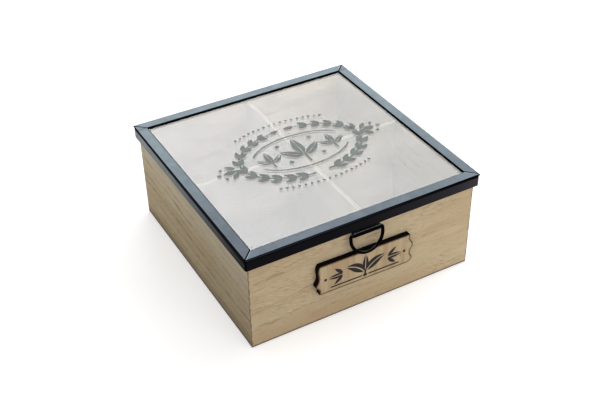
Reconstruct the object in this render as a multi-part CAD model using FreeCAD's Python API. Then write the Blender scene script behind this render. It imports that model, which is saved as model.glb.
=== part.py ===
"""Square wooden tea box with four compartments and a hinged lid of glass in black sheet metal.

Lengths are in millimetres and angles in degrees. The origin is the centre of the box's underside.
+X runs to the right along the front, +Y runs to the back and +Z is up. The lid is closed, and the
pull ring hangs against the plaque's top edge.

A place on a side of the box or lid is given by its inset: the distance inwards from the lid's
hemmed edge on that side.
"""
import FreeCAD
import Part
import math
import os

Vector = FreeCAD.Vector

# Lid frame: one strip of sheet metal with a flat flange, a hemmed outer edge and a skirt
LID_WIDTH = 180.0
LID_DEPTH = 180.0
FRAME_SHEET = 0.7
FLANGE_WIDTH = 8.0
HEM_OVERHANG = 0.2
SKIRT_DEPTH = 9.3
LIP_DEPTH = 1.1
SKIRT_CORNER_RADIUS = 1.6
MITRE_GAP = 0.35

# Glass and the clips that hold it up against the flange's lip
GLASS_THICKNESS = 2.0
GLASS_CORNER_RADIUS = 1.5
GLASS_EDGE_GAP = 0.25
CLIP_SHEET = 0.5
CLIP_WIDTH = 8.0
CLIP_REACH = 5.5
CLIP_RISE = 2.5
CLIP_BEND_RADIUS = 0.2
CLIP_PLACE_SHARES = (-0.21, 0.21)

# Wooden walls, mitred at the corners, with a rebate for the base
WALL_INSET = 2.85
WALL_HEIGHT = 74.3
WALL_THICKNESS = 6.0
WALL_EDGE_RADIUS = 0.6
BASE_THICKNESS = 3.0
BASE_LEDGE = 3.0
BASE_FIT = 0.15
BRAD_RADIUS = 0.6
BRAD_LENGTH = 12.0
BRAD_HEAD_RADIUS = 1.1
BRAD_HEAD_HEIGHT = 0.6
BRAD_HEAD_SIDES = 8
BRAD_FIT = 0.05
BRAD_PLACE_SHARES = (-0.3, 0.3)

# Dividers, halved over each other in the middle
DIVIDER_THICKNESS = 3.0
DIVIDER_TOP_GAP = 0.4
DIVIDER_END_GAP = 0.25
DIVIDER_SLOT_FIT = 0.1

# Plaque on the front wall
PLAQUE_LENGTH = 72.0
PLAQUE_HEIGHT = 24.4
PLAQUE_THICKNESS = 4.0
PLAQUE_CENTRE_X = -2.2
PLAQUE_DROP = 30.4
PLAQUE_TILT = -1.0
PLAQUE_WAVE = 2.0
PLAQUE_CORNER_RADIUS = 1.0
# Each point of a wavy end: up from the centre as a share of half the height, then out as a
# share of the wave
PLAQUE_LEFT_SHARES = ((-1.0, -0.1), (-0.82, -0.35), (-0.62, 0.0), (-0.43, 1.0), (-0.14, 0.5),
                      (0.2, 0.1), (0.7, 0.4), (1.0, -0.1))
PLAQUE_RIGHT_SHARES = ((-1.0, -0.6), (-0.86, 0.55), (-0.68, 1.0), (-0.38, 0.1), (-0.1, 0.3),
                       (0.27, 1.05), (0.48, 0.35), (0.7, -0.35), (1.0, -0.15))

# Pull: a strip rolled round the straight bar of a D-shaped ring
PULL_CENTRE_X = -1.7
PULL_SHEET = 0.6
PULL_WIDTH = 21.0
PULL_TOP_GAP = 0.8
PULL_DROP = 2.2
LOOP_CLEARANCE = 0.15
LOOP_OPENING = 60.0
RING_WIDTH = 27.0
RING_REACH = 16.0
RING_WIRE_RADIUS = 1.2
RING_SIDES = 14
RING_CORNER_RADIUS = 1.8
RING_REST_GAP = 0.35
RING_SWING_GAP = 0.2

# Hinges at the back: each has a lower leaf let into the wall and an upper leaf on the skirt
HINGE_SPACING_SHARE = 2 / 3
HINGE_WIDTH = 24.0
HINGE_SHEET = 0.6
HINGE_LEAF_LENGTH = 12.0
HINGE_CORNER_RADIUS = 1.5
HINGE_TOP_GAP = 0.3
KNUCKLE_WIDTH = 8.0
KNUCKLE_GAP = 0.2
KNUCKLE_CLEARANCE = 0.25
PIVOT_LIFT = 0.94
PIN_FIT = 0.05
PIN_HEAD_RADIUS = 1.3
PIN_HEAD_LENGTH = 0.4
MORTISE_FIT = 0.1
BARREL_CLEARANCE = 0.3
HINGE_FASTENER_SPACING = 14.0
SCREW_RADIUS = 1.0
SCREW_LENGTH = 5.0
SCREW_HEAD_RADIUS = 1.9
SCREW_HEAD_HEIGHT = 1.0
SCREW_SLOT_WIDTH = 0.5
SCREW_SLOT_DEPTH = 0.4
SCREW_DROP_SHARE = 0.6
RIVET_RADIUS = 0.8
RIVET_HEAD_RADIUS = 1.4
RIVET_HEAD_HEIGHT = 0.6
RIVET_TAIL_RADIUS = 1.2
RIVET_TAIL_HEIGHT = 0.4
RIVET_TAIL_SIDES = 8
FASTENER_FIT = 0.05
HEAD_RIM_SHARE = 0.4
HEAD_TOP_SHARE = 0.6
SHANK_SIDES = 6

# A cut runs this far past the surface that it opens, and points closer than this are one
OVERRUN = 1.0
SAME_POINT = 1e-6

# Heights, worked out from the stack: wall, clip, glass, lip
GLASS_BOTTOM = WALL_HEIGHT + CLIP_SHEET
GLASS_TOP = GLASS_BOTTOM + GLASS_THICKNESS
LID_TOP = GLASS_TOP + LIP_DEPTH
FLANGE_UNDERSIDE = LID_TOP - FRAME_SHEET
HEM_UNDERSIDE = FLANGE_UNDERSIDE - FRAME_SHEET
SKIRT_BOTTOM = LID_TOP - SKIRT_DEPTH

# The plaque's centre keeps its distance below the skirt
PLAQUE_CENTRE_Z = SKIRT_BOTTOM - PLAQUE_DROP

# Insets of the skirt's inner face and of the glass's edge
SKIRT_INSET = HEM_OVERHANG + FRAME_SHEET
GLASS_INSET = SKIRT_INSET + CLIP_SHEET + GLASS_EDGE_GAP

# Outer sizes of the walls
BOX_WIDTH = LID_WIDTH - 2 * WALL_INSET
BOX_DEPTH = LID_DEPTH - 2 * WALL_INSET
BACK_FACE = BOX_DEPTH / 2
FRONT_FACE = -BOX_DEPTH / 2

# Hinge pivot: midway between the back wall's face and the skirt's outer face
SKIRT_BACK_FACE = LID_DEPTH / 2 - HEM_OVERHANG
PIVOT_Y = (BACK_FACE + SKIRT_BACK_FACE) / 2
PIVOT_Z = SKIRT_BOTTOM + PIVOT_LIFT
BORE_RADIUS = PIVOT_Y - BACK_FACE
BARREL_RADIUS = BORE_RADIUS + HINGE_SHEET
HINGE_PLACES = (-LID_WIDTH * HINGE_SPACING_SHARE / 2, LID_WIDTH * HINGE_SPACING_SHARE / 2)
SCREW_Z = PIVOT_Z - HINGE_LEAF_LENGTH * SCREW_DROP_SHARE
HINGE_TOP = HEM_UNDERSIDE - HINGE_TOP_GAP
UPPER_LEAF_FOOT = PIVOT_Z + BARREL_RADIUS + KNUCKLE_CLEARANCE
RIVET_Z = (UPPER_LEAF_FOOT + HINGE_TOP) / 2

# Pull: the strip lies against the front skirt's inner face
PULL_OUTER_Y = -LID_DEPTH / 2 + SKIRT_INSET
PULL_INNER_Y = PULL_OUTER_Y + PULL_SHEET
LOOP_BORE_RADIUS = RING_WIRE_RADIUS + LOOP_CLEARANCE
LOOP_RADIUS = LOOP_BORE_RADIUS + PULL_SHEET
RING_Y = PULL_INNER_Y - LOOP_RADIUS
RING_Z = SKIRT_BOTTOM - PULL_DROP

# The four sides, anticlockwise from the front: name, length of the lid's side, distance of the
# lid's hemmed edge from the centre
LID_SIDES = (
    ("front", LID_WIDTH, LID_DEPTH / 2),
    ("right", LID_DEPTH, LID_WIDTH / 2),
    ("back", LID_WIDTH, LID_DEPTH / 2),
    ("left", LID_DEPTH, LID_WIDTH / 2),
)
# The same with each side's turn about Z from the front: name, turn, length, distance
SIDES = [(name, index * 360 / len(LID_SIDES), length, edge)
         for index, (name, length, edge) in enumerate(LID_SIDES)]


def block(low, high):
    """Box between two opposite corners."""
    size = high - low
    return Part.makeBox(size.x, size.y, size.z, low)


def rod(radius, start, end):
    """Cylinder of the given radius from one point to another."""
    axis = end - start
    return Part.makeCylinder(radius, axis.Length, start, axis)


def prism(radius, sides, start, end):
    """Straight bar with a regular polygon as its section, its radius measured to the corners."""
    axis = end - start
    across = axis.cross(Vector(0, 0, 1)) if axis.x or axis.y else Vector(1, 0, 0)
    corner = across.normalize() * radius
    turn = FreeCAD.Rotation(axis, 360 / sides)
    points = [start + corner]
    for index in range(sides):
        corner = turn.multVec(corner)
        points.append(start + corner)
    points[-1] = points[0]
    return Part.Face(Part.makePolygon(points)).extrude(axis)


def joined(shapes):
    """One solid from shapes that touch or overlap."""
    return shapes[0].multiFuse(shapes[1:]).removeSplitter()


def rounded_outline(corners):
    """Closed wire through the corner points, each rounded by its own radius."""
    count = len(corners)
    edges = []
    ends = []
    for index, (point, radius) in enumerate(corners):
        if radius == 0:
            ends.append((point, None, point))
            continue
        to_last = (corners[index - 1][0] - point).normalize()
        to_next = (corners[(index + 1) % count][0] - point).normalize()
        half = to_last.getAngle(to_next) / 2
        inwards = (to_last + to_next).normalize()
        middle = point + inwards * (radius / math.sin(half) - radius)
        run = radius / math.tan(half)
        ends.append((point + to_last * run, middle, point + to_next * run))
    for index, (start, middle, end) in enumerate(ends):
        if middle is not None:
            edges.append(Part.Arc(start, middle, end).toShape())
        following = ends[(index + 1) % count][0]
        if not end.isEqual(following, SAME_POINT):
            edges.append(Part.makeLine(end, following))
    return Part.Wire(edges)


def rounded_block(width, depth, radius, low_z, high_z):
    """Upright block centred on the Z axis, with its four upright edges rounded."""
    corners = []
    for x, y in ((-1, -1), (1, -1), (1, 1), (-1, 1)):
        corners.append((Vector(x * width / 2, y * depth / 2, low_z), radius))
    return Part.Face(rounded_outline(corners)).extrude(Vector(0, 0, high_z - low_z))


def side_strip(section, edge, first, last):
    """Front strip whose section is given as inset, height and corner radius, between two X values."""
    corners = []
    for inset, height, radius in section:
        corners.append((Vector(first, inset - edge, height), radius))
    return Part.Face(rounded_outline(corners)).extrude(Vector(last - first, 0, 0))


def mitred_strip(section, length, edge, gap):
    """Front strip cut at 45 degrees at both ends, half the gap short of each corner's diagonal."""
    strip = side_strip(section, edge, -length / 2, length / 2)
    reach = max(inset for inset, height, radius in section) + OVERRUN
    low = min(height for inset, height, radius in section) - OVERRUN
    high = max(height for inset, height, radius in section) + OVERRUN
    shortfall = gap / math.sqrt(2)
    outer = length / 2 - shortfall + OVERRUN
    inner = length / 2 - shortfall - reach
    plan = []
    for x, y in ((-outer, -OVERRUN), (outer, -OVERRUN), (inner, reach), (-inner, reach)):
        plan.append((Vector(x, y - edge, low), 0))
    keep = Part.Face(rounded_outline(plan)).extrude(Vector(0, 0, high - low))
    return strip.common(keep)


def turned(shape, angle):
    """Copy of a front piece, turned about Z to another side."""
    copy = shape.copy()
    copy.rotate(Vector(0, 0, 0), Vector(0, 0, 1), angle)
    return copy


def wall_section():
    """Section of a wooden wall, with the rebate that takes the base."""
    outer = WALL_INSET
    inner = WALL_INSET + WALL_THICKNESS
    ledge = inner - BASE_LEDGE
    return (
        (outer, 0, WALL_EDGE_RADIUS),
        (ledge, 0, 0),
        (ledge, BASE_THICKNESS, 0),
        (inner, BASE_THICKNESS, 0),
        (inner, WALL_HEIGHT, WALL_EDGE_RADIUS),
        (outer, WALL_HEIGHT, WALL_EDGE_RADIUS),
    )


def brad_places():
    """Points on the underside where a brad goes through the base into a wall."""
    inset = WALL_INSET + WALL_THICKNESS - BASE_LEDGE / 2
    points = []
    for name, turn, length, edge in SIDES:
        for share in BRAD_PLACE_SHARES:
            corner = Part.Vertex(length * share, inset - edge, 0)
            corner.rotate(Vector(0, 0, 0), Vector(0, 0, 1), turn)
            points.append(corner.Point)
    return points


def brad_holes():
    """Holes for all the brads, with their heads' recesses."""
    holes = []
    for place in brad_places():
        top = place + Vector(0, 0, BRAD_LENGTH)
        shoulder = place + Vector(0, 0, BRAD_HEAD_HEIGHT)
        holes.append(prism(BRAD_RADIUS + BRAD_FIT, SHANK_SIDES, place, top))
        holes.append(prism(BRAD_HEAD_RADIUS + BRAD_FIT, BRAD_HEAD_SIDES, place, shoulder))
    return holes


def make_base_brads():
    """Small nails that hold the base, heads flush with the underside."""
    brads = []
    for place in brad_places():
        shoulder = place + Vector(0, 0, BRAD_HEAD_HEIGHT)
        shank = prism(BRAD_RADIUS, SHANK_SIDES, place, place + Vector(0, 0, BRAD_LENGTH))
        brads.append(joined([shank, prism(BRAD_HEAD_RADIUS, BRAD_HEAD_SIDES, place, shoulder)]))
    return Part.makeCompound(brads)


def make_wall(turn, length, edge):
    """One mitred wall, drilled for the brads."""
    section = wall_section()
    box_length = length - 2 * WALL_INSET
    corners = [(inset - WALL_INSET, height, radius) for inset, height, radius in section]
    wall = mitred_strip(corners, box_length, edge - WALL_INSET, 0)
    return turned(wall, turn).cut(brad_holes())


def make_back_wall(turn, length, edge):
    """Back wall, with a shallow mortise, a barrel groove and screw holes for each hinge."""
    wall = make_wall(turn, length, edge)
    cuts = []
    for centre in HINGE_PLACES:
        half = HINGE_WIDTH / 2 + MORTISE_FIT
        foot = PIVOT_Z - HINGE_LEAF_LENGTH - MORTISE_FIT
        cuts.append(block(Vector(centre - half, BACK_FACE - HINGE_SHEET, foot),
                          Vector(centre + half, BACK_FACE + OVERRUN, PIVOT_Z)))
        half = HINGE_WIDTH / 2 + PIN_HEAD_LENGTH + BARREL_CLEARANCE
        groove = BARREL_RADIUS + BARREL_CLEARANCE
        cuts.append(block(Vector(centre - half, PIVOT_Y - groove, PIVOT_Z - groove),
                          Vector(centre + half, BACK_FACE + OVERRUN, PIVOT_Z + groove)))
        for place in screw_places(centre):
            cuts.append(prism(SCREW_RADIUS + FASTENER_FIT, SHANK_SIDES, place,
                              place - Vector(0, SCREW_LENGTH, 0)))
    return wall.cut(cuts)


def make_base():
    """Thin base panel in the walls' rebate, flush with their lower edges."""
    margin = 2 * (WALL_THICKNESS - BASE_LEDGE + BASE_FIT)
    half_width = (BOX_WIDTH - margin) / 2
    half_depth = (BOX_DEPTH - margin) / 2
    panel = block(Vector(-half_width, -half_depth, 0),
                  Vector(half_width, half_depth, BASE_THICKNESS))
    return panel.cut(brad_holes())


def make_divider(box_length, turn, slot_on_top):
    """Divider board with the slot of its halved joint in the upper or the lower half."""
    half = box_length / 2 - WALL_THICKNESS - DIVIDER_END_GAP
    top = WALL_HEIGHT - DIVIDER_TOP_GAP
    middle = (BASE_THICKNESS + top) / 2
    board = block(Vector(-half, -DIVIDER_THICKNESS / 2, BASE_THICKNESS),
                  Vector(half, DIVIDER_THICKNESS / 2, top))
    slot_half = DIVIDER_THICKNESS / 2 + DIVIDER_SLOT_FIT
    if slot_on_top:
        slot_low = middle - DIVIDER_SLOT_FIT
        slot_high = top + OVERRUN
    else:
        slot_low = BASE_THICKNESS - OVERRUN
        slot_high = middle
    slot = block(Vector(-slot_half, -DIVIDER_THICKNESS, slot_low),
                 Vector(slot_half, DIVIDER_THICKNESS, slot_high))
    return turned(board.cut(slot), turn)


def plaque_end(shares, side):
    """Points of one of the plaque's ends from its foot to its head, about the plaque's centre."""
    points = []
    for up_share, out_share in shares:
        x = side * (PLAQUE_LENGTH / 2 + PLAQUE_WAVE * out_share)
        points.append(Vector(x, 0, PLAQUE_HEIGHT / 2 * up_share))
    return points


def make_plaque():
    """Ticket-shaped plaque with two wavy ends."""
    left = plaque_end(PLAQUE_LEFT_SHARES, -1)
    right = plaque_end(PLAQUE_RIGHT_SHARES[::-1], 1)
    end_curves = []
    for points in (left, right):
        curve = Part.BSplineCurve()
        curve.interpolate(points)
        end_curves.append(curve.toShape())
    outline = Part.Wire([
        end_curves[0],
        Part.makeLine(left[-1], right[0]),
        end_curves[1],
        Part.makeLine(right[-1], left[0]),
    ])
    plaque = Part.Face(outline).extrude(Vector(0, -PLAQUE_THICKNESS, 0))
    ends = left[0].x, left[-1].x, right[0].x, right[-1].x
    corner_edges = []
    for edge in plaque.Edges:
        first = edge.Vertexes[0].Point
        last = edge.Vertexes[-1].Point
        runs_through = abs(abs(first.y - last.y) - PLAQUE_THICKNESS) < SAME_POINT
        if runs_through and min(abs(first.x - end) for end in ends) < SAME_POINT:
            corner_edges.append(edge)
    plaque = plaque.makeFillet(PLAQUE_CORNER_RADIUS, corner_edges)
    plaque.rotate(Vector(0, 0, 0), Vector(0, 1, 0), -PLAQUE_TILT)
    plaque.translate(Vector(PLAQUE_CENTRE_X, FRONT_FACE, PLAQUE_CENTRE_Z))
    return plaque


def plaque_top_at(x):
    """Height of the plaque's top edge at an X value on it."""
    tilt = math.radians(PLAQUE_TILT)
    return PLAQUE_CENTRE_Z + PLAQUE_HEIGHT / 2 / math.cos(tilt) + (x - PLAQUE_CENTRE_X) * math.tan(tilt)


def flange_section():
    """Section of the flat flange with its down-turned lip and closed outer hem."""
    return (
        (0, LID_TOP, FRAME_SHEET),
        (0, HEM_UNDERSIDE, FRAME_SHEET),
        (SKIRT_INSET, HEM_UNDERSIDE, 0),
        (SKIRT_INSET, FLANGE_UNDERSIDE, 0),
        (FLANGE_WIDTH - FRAME_SHEET, FLANGE_UNDERSIDE, 0),
        (FLANGE_WIDTH - FRAME_SHEET, LID_TOP - LIP_DEPTH, 0),
        (FLANGE_WIDTH, LID_TOP - LIP_DEPTH, 0),
        (FLANGE_WIDTH, LID_TOP, FRAME_SHEET),
    )


def make_skirt():
    """Skirt band bent round four corners, notched at the back for the hinge barrels."""
    outer = rounded_block(LID_WIDTH - 2 * HEM_OVERHANG, LID_DEPTH - 2 * HEM_OVERHANG,
                          SKIRT_CORNER_RADIUS, SKIRT_BOTTOM, FLANGE_UNDERSIDE)
    inner = rounded_block(LID_WIDTH - 2 * SKIRT_INSET, LID_DEPTH - 2 * SKIRT_INSET,
                          SKIRT_CORNER_RADIUS - FRAME_SHEET, SKIRT_BOTTOM, FLANGE_UNDERSIDE)
    cuts = [inner]
    half = HINGE_WIDTH / 2 + PIN_HEAD_LENGTH + BARREL_CLEARANCE
    notch_top = PIVOT_Z + BARREL_RADIUS + BARREL_CLEARANCE
    inner_face = SKIRT_BACK_FACE - FRAME_SHEET
    for centre in HINGE_PLACES:
        cuts.append(block(Vector(centre - half, inner_face - OVERRUN, SKIRT_BOTTOM - OVERRUN),
                          Vector(centre + half, SKIRT_BACK_FACE + OVERRUN, notch_top)))
        for place in rivet_places(centre):
            cuts.append(prism(RIVET_RADIUS + FASTENER_FIT, SHANK_SIDES, place,
                              place - Vector(0, SKIRT_INSET + HINGE_SHEET, 0)))
    return outer.cut(cuts)


def make_lid_frame():
    """Lid frame folded from one strip: the flange is mitred, and the skirt goes round the corners."""
    pieces = [make_skirt()]
    for name, turn, length, edge in SIDES:
        pieces.append(turned(mitred_strip(flange_section(), length, edge, MITRE_GAP), turn))
    return joined(pieces)


def make_glass():
    """Flat pane with rounded corners, from clip to lip."""
    return rounded_block(LID_WIDTH - 2 * GLASS_INSET, LID_DEPTH - 2 * GLASS_INSET,
                         GLASS_CORNER_RADIUS, GLASS_BOTTOM, GLASS_TOP)


def make_glass_clips():
    """Bent clips on the skirt's inner face, whose feet carry the glass and sit on the walls' rims."""
    inner = SKIRT_INSET + CLIP_SHEET
    tip = SKIRT_INSET + CLIP_REACH
    section = (
        (SKIRT_INSET, WALL_HEIGHT, CLIP_BEND_RADIUS + CLIP_SHEET),
        (tip, WALL_HEIGHT, 0),
        (tip, GLASS_BOTTOM, 0),
        (inner, GLASS_BOTTOM, CLIP_BEND_RADIUS),
        (inner, WALL_HEIGHT + CLIP_RISE, 0),
        (SKIRT_INSET, WALL_HEIGHT + CLIP_RISE, 0),
    )
    clips = []
    for name, turn, length, edge in SIDES:
        for share in CLIP_PLACE_SHARES:
            centre = length * share
            clip = side_strip(section, edge, centre - CLIP_WIDTH / 2, centre + CLIP_WIDTH / 2)
            clips.append(turned(clip, turn))
    return Part.makeCompound(clips)


def make_pull_clip():
    """Strip behind the front skirt, rolled forward at its foot into an open loop for the ring."""
    left = PULL_CENTRE_X - PULL_WIDTH / 2
    right = PULL_CENTRE_X + PULL_WIDTH / 2
    axis_start = Vector(left, RING_Y, RING_Z)
    axis_end = Vector(right, RING_Y, RING_Z)
    loop = rod(LOOP_RADIUS, axis_start, axis_end).cut(rod(LOOP_BORE_RADIUS, axis_start, axis_end))
    opening = math.radians(LOOP_OPENING)
    far = LOOP_RADIUS / math.cos(opening / 2) + OVERRUN
    wedge = rounded_outline([
        (axis_start, 0),
        (axis_start + Vector(0, far, 0), 0),
        (axis_start + Vector(0, far * math.cos(opening), far * math.sin(opening)), 0),
    ])
    loop = loop.cut(Part.Face(wedge).extrude(axis_end - axis_start))
    plate = block(Vector(left, PULL_OUTER_Y, RING_Z),
                  Vector(right, PULL_INNER_Y, FLANGE_UNDERSIDE - PULL_TOP_GAP))
    return joined([loop, plate])


def ring_rest_tilt():
    """Angle by which the plaque's top front edge holds the ring out from hanging straight down.

    The ring's lowest wire lies clear of that edge by the rest gap. A ring too short to reach the
    edge hangs straight, and one that reaches past it leans on the edge with its sides.
    """
    out = RING_Y - (FRONT_FACE - PLAQUE_THICKNESS)
    drop = RING_Z - plaque_top_at(PULL_CENTRE_X)
    distance = math.hypot(out, drop)
    clearance = RING_WIRE_RADIUS + RING_REST_GAP
    if RING_REACH + clearance <= drop:
        return 0.0
    edge_angle = math.atan2(out, drop)
    if RING_REACH ** 2 >= distance ** 2 - clearance ** 2:
        return math.degrees(edge_angle + math.asin(clearance / distance))
    cosine = (distance ** 2 + RING_REACH ** 2 - clearance ** 2) / (2 * distance * RING_REACH)
    return math.degrees(edge_angle + math.acos(cosine))


def make_pull_ring():
    """D-shaped wire ring: a straight bar, two tight corners, two short sides and a wide bow."""
    half = RING_WIDTH / 2 - RING_WIRE_RADIUS
    bar_end = half - RING_CORNER_RADIUS
    bow_start = RING_REACH - half
    bar = prism(RING_WIRE_RADIUS, RING_SIDES, Vector(-bar_end, 0, 0), Vector(bar_end, 0, 0))
    section = max(bar.Faces, key=lambda face: face.CenterOfMass.x)
    across = Vector(0, 1, 0)
    corner_centre = Vector(bar_end, 0, -RING_CORNER_RADIUS)
    corner = section.revolve(corner_centre, across, 90)
    section = max(corner.Faces, key=lambda face: -face.CenterOfMass.z)
    side = section.extrude(Vector(0, 0, RING_CORNER_RADIUS - bow_start))
    section = max(side.Faces, key=lambda face: -face.CenterOfMass.z)
    bow = section.revolve(Vector(0, 0, -bow_start), across, 180)
    mirrored = [piece.mirror(Vector(0, 0, 0), Vector(1, 0, 0)) for piece in (corner, side)]
    ring = joined([bar, corner, side, bow] + mirrored)
    ring.rotate(Vector(0, 0, 0), Vector(1, 0, 0), -ring_rest_tilt())
    ring.translate(Vector(PULL_CENTRE_X, RING_Y, RING_Z))
    return ring


def screw_places(centre):
    """Points on the lower leaf's outer face where its screws go in."""
    places = []
    for side in (-1, 1):
        places.append(Vector(centre + side * HINGE_FASTENER_SPACING / 2, BACK_FACE, SCREW_Z))
    return places


def rivet_places(centre):
    """Points on the upper leaf's outer face where its rivets go through."""
    places = []
    for side in (-1, 1):
        x = centre + side * HINGE_FASTENER_SPACING / 2
        places.append(Vector(x, SKIRT_BACK_FACE + HINGE_SHEET, RIVET_Z))
    return places


def leaf_plate(centre, inner_y, low_z, high_z, round_top):
    """Flat plate of a hinge leaf, with the two corners away from the barrel rounded."""
    half = HINGE_WIDTH / 2
    top_radius = HINGE_CORNER_RADIUS if round_top else 0
    foot_radius = 0 if round_top else HINGE_CORNER_RADIUS
    outline = rounded_outline([
        (Vector(centre - half, inner_y, low_z), foot_radius),
        (Vector(centre + half, inner_y, low_z), foot_radius),
        (Vector(centre + half, inner_y, high_z), top_radius),
        (Vector(centre - half, inner_y, high_z), top_radius),
    ])
    return Part.Face(outline).extrude(Vector(0, HINGE_SHEET, 0))


def barrel(centre, first, last):
    """Solid cylinder on the pivot between two X values measured from the hinge's centre."""
    start = Vector(centre + first, PIVOT_Y, PIVOT_Z)
    return rod(BARREL_RADIUS, start, start + Vector(last - first, 0, 0))


def bore(centre):
    """Hole for the pin through the whole hinge."""
    half = HINGE_WIDTH / 2 + OVERRUN
    start = Vector(centre - half, PIVOT_Y, PIVOT_Z)
    return rod(BORE_RADIUS, start, start + Vector(2 * half, 0, 0))


def make_lower_leaf(centre):
    """Leaf let into the back wall, with the two outer knuckles."""
    plate = leaf_plate(centre, BACK_FACE - HINGE_SHEET, PIVOT_Z - HINGE_LEAF_LENGTH, PIVOT_Z, False)
    half = HINGE_WIDTH / 2
    inner = KNUCKLE_WIDTH / 2 + KNUCKLE_GAP
    window_foot = PIVOT_Z - BARREL_RADIUS - KNUCKLE_CLEARANCE
    window = block(Vector(centre - inner, BACK_FACE - HINGE_SHEET - OVERRUN, window_foot),
                   Vector(centre + inner, BACK_FACE + OVERRUN, PIVOT_Z + OVERRUN))
    leaf = joined([plate.cut(window), barrel(centre, -half, -inner), barrel(centre, inner, half)])
    holes = [bore(centre)]
    for place in screw_places(centre):
        holes.append(prism(SCREW_RADIUS + FASTENER_FIT, SHANK_SIDES, place,
                           place - Vector(0, HINGE_SHEET, 0)))
    return leaf.cut(holes)


def make_upper_leaf(centre):
    """Leaf on the skirt's outer face, with the middle knuckle."""
    plate = leaf_plate(centre, SKIRT_BACK_FACE, PIVOT_Z, HINGE_TOP, True)
    half = HINGE_WIDTH / 2
    inner = KNUCKLE_WIDTH / 2
    cuts = []
    for first, last in ((-half - OVERRUN, -inner), (inner, half + OVERRUN)):
        cuts.append(block(Vector(centre + first, SKIRT_BACK_FACE - OVERRUN, PIVOT_Z - OVERRUN),
                          Vector(centre + last, SKIRT_BACK_FACE + HINGE_SHEET + OVERRUN,
                                 UPPER_LEAF_FOOT)))
    leaf = joined([plate.cut(cuts), barrel(centre, -inner, inner)])
    holes = [bore(centre)]
    for place in rivet_places(centre):
        holes.append(prism(RIVET_RADIUS + FASTENER_FIT, SHANK_SIDES, place,
                           place - Vector(0, HINGE_SHEET, 0)))
    return leaf.cut(holes)


def make_pin(centre):
    """Hinge pin with a small head at each end."""
    half = HINGE_WIDTH / 2
    start = Vector(centre - half, PIVOT_Y, PIVOT_Z)
    end = Vector(centre + half, PIVOT_Y, PIVOT_Z)
    head = Vector(PIN_HEAD_LENGTH, 0, 0)
    return joined([
        rod(BORE_RADIUS - PIN_FIT, start, end),
        rod(PIN_HEAD_RADIUS, start - head, start),
        rod(PIN_HEAD_RADIUS, end, end + head),
    ])


def domed_head(radius, height, place):
    """Round head standing out to the back: a short rim below a cone with a flat top."""
    rim = place + Vector(0, height * HEAD_RIM_SHARE, 0)
    cone = Part.makeCone(radius, radius * HEAD_TOP_SHARE, height - rim.y + place.y, rim, Vector(0, 1, 0))
    return joined([rod(radius, place, rim), cone])


def make_hinge_screws():
    """Slotted round-head screws of the lower leaves."""
    screws = []
    for centre in HINGE_PLACES:
        for place in screw_places(centre):
            head = domed_head(SCREW_HEAD_RADIUS, SCREW_HEAD_HEIGHT, place)
            half = SCREW_SLOT_WIDTH / 2
            slot_floor = place.y + SCREW_HEAD_HEIGHT - SCREW_SLOT_DEPTH
            slot = block(Vector(place.x - SCREW_HEAD_RADIUS, slot_floor, place.z - half),
                         Vector(place.x + SCREW_HEAD_RADIUS, place.y + SCREW_HEAD_HEIGHT + OVERRUN,
                                place.z + half))
            shank = prism(SCREW_RADIUS, SHANK_SIDES, place, place - Vector(0, SCREW_LENGTH, 0))
            screws.append(joined([head.cut(slot), shank]))
    return Part.makeCompound(screws)


def make_hinge_rivets():
    """Rivets through the upper leaves and the skirt, closed on its inner face."""
    rivets = []
    for centre in HINGE_PLACES:
        for place in rivet_places(centre):
            inner_face = place - Vector(0, HINGE_SHEET + FRAME_SHEET, 0)
            rivets.append(joined([
                domed_head(RIVET_HEAD_RADIUS, RIVET_HEAD_HEIGHT, place),
                prism(RIVET_RADIUS, SHANK_SIDES, place, inner_face),
                prism(RIVET_TAIL_RADIUS, RIVET_TAIL_SIDES, inner_face,
                      inner_face - Vector(0, RIVET_TAIL_HEIGHT, 0)),
            ]))
    return Part.makeCompound(rivets)


def lid_stop_angle():
    """Opening at which the rear skirt's lower outer edge meets the back wall's face."""
    out = SKIRT_BACK_FACE - PIVOT_Y
    radius = math.hypot(out, PIVOT_LIFT)
    return math.degrees(math.pi - math.atan2(PIVOT_LIFT, out) - math.acos((PIVOT_Y - BACK_FACE) / radius))


def ring_stop_angle():
    """Swing from rest at which the raised ring's wire comes near the skirt's edge or the hem."""
    clearance = RING_WIRE_RADIUS + RING_SWING_GAP
    lid_edge = -LID_DEPTH / 2
    near = (
        (lid_edge + HEM_OVERHANG - RING_Y, SKIRT_BOTTOM - RING_Z, 0),
        (lid_edge + FRAME_SHEET - RING_Y, FLANGE_UNDERSIDE - RING_Z, FRAME_SHEET),
    )
    lean = 0.0
    for back, up, radius in near:
        distance = math.hypot(back, up)
        lean = max(lean, math.asin((clearance + radius) / distance) - math.atan2(back, up))
    return 180 - ring_rest_tilt() - math.degrees(lean)


def make_parts():
    """Every node's shape by its name."""
    parts = {}
    for name, turn, length, edge in SIDES:
        maker = make_back_wall if name == "back" else make_wall
        parts[name + "_panel"] = maker(turn, length, edge)
    parts["base_panel"] = make_base()
    parts["base_brads"] = make_base_brads()
    parts["divider_left_right"] = make_divider(BOX_WIDTH, 0, True)
    parts["divider_front_back"] = make_divider(BOX_DEPTH, 90, False)
    parts["label_plaque"] = make_plaque()
    parts["lid_frame"] = make_lid_frame()
    parts["glass_pane"] = make_glass()
    parts["glass_clips"] = make_glass_clips()
    parts["pull_clip"] = make_pull_clip()
    parts["pull_ring"] = make_pull_ring()
    for side, centre in zip(("left", "right"), HINGE_PLACES):
        parts["hinge_leaf_lower_" + side] = make_lower_leaf(centre)
        parts["hinge_leaf_upper_" + side] = make_upper_leaf(centre)
        parts["hinge_pin_" + side] = make_pin(centre)
    parts["hinge_screws"] = make_hinge_screws()
    parts["hinge_rivets"] = make_hinge_rivets()
    return parts


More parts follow.
